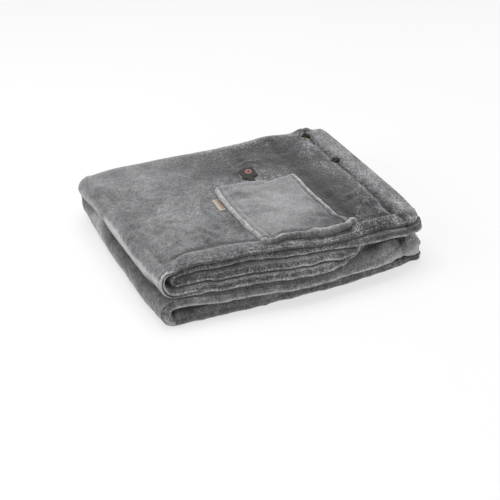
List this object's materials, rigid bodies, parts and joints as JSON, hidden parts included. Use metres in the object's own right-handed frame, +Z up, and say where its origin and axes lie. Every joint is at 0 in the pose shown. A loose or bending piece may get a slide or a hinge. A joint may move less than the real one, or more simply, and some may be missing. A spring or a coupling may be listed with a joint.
{
  "type": "electric heated blanket",
  "caption": "Folded plush heated blanket with hemmed edges, a sewn patch pocket for a power pack, a control patch and press studs.",
  "frame": {"origin": "on the surface it rests on, under the middle of the folded stack", "axes": "+X along the longer side towards the free ends with the press studs, +Y towards the back fold, +Z up through the stack"},
  "size_m": [0.4134, 0.3729, 0.0785],
  "materials": {
    "plush": "soft plush pile, dark grey with lighter streaks in the nap",
    "pocket_plush": "short velvety plush, light grey, with brushed lines",
    "ribbon": "woven ribbon, pale grey",
    "patch_leather": "smooth dark brown leather with a lit power symbol",
    "stud_metal": "antique bronze, satin"
  },
  "bodies": {
    "root": {"blanket": "plush", "pocket": "pocket_plush", "pocket_tab": "ribbon", "control_patch": "patch_leather", "press_stud_front": "stud_metal", "press_stud_back": "stud_metal"}
  },
  "joints": []
}
